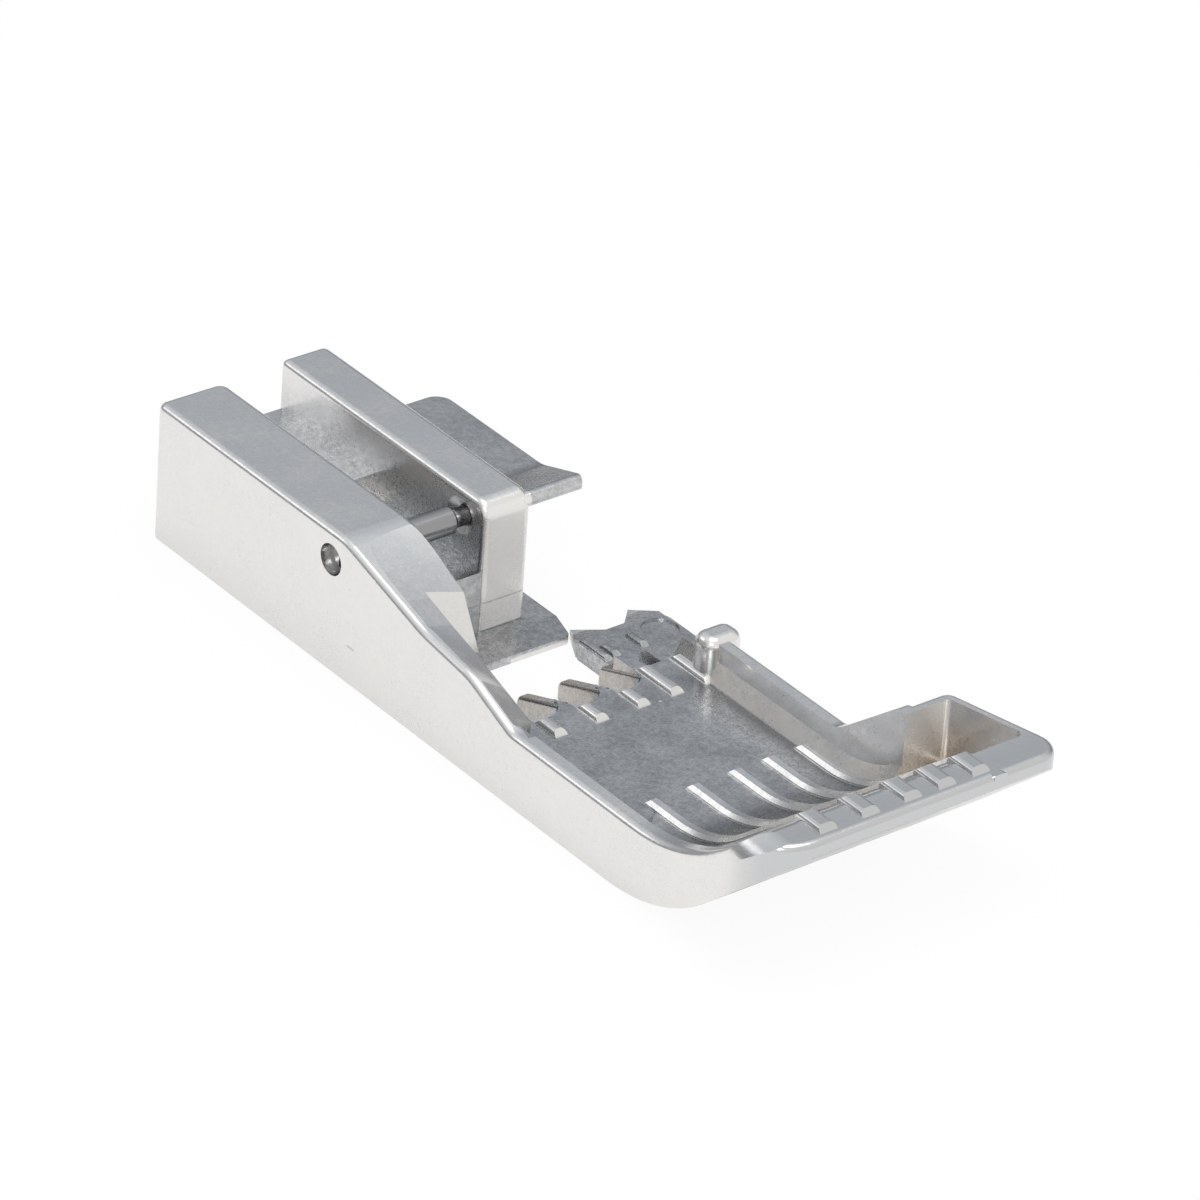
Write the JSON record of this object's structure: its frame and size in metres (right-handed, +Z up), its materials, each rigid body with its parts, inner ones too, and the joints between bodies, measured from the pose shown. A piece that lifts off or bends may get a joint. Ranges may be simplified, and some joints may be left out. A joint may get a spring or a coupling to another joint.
{
  "type": "sewing machine presser foot",
  "caption": "Overlock presser foot: clevis with a snap pin and thumb wing, long upturned toe with needle notches, stitch fingers, guide ribs and an open corner pocket.",
  "frame": {"origin": "on the flat sole, midway between the clevis walls and straight under the cross pin's axis", "axes": "+X to the operator's right, the toe towards -Y, +Z up from the sole"},
  "size_m": [0.0197, 0.0544, 0.0085],
  "materials": {
    "plated_casting": "satin nickel plate over a die casting",
    "pin_steel": "turned and ground steel"
  },
  "bodies": {
    "root": {"foot_body": "plated_casting", "ankle_pin": "pin_steel"}
  },
  "joints": []
}
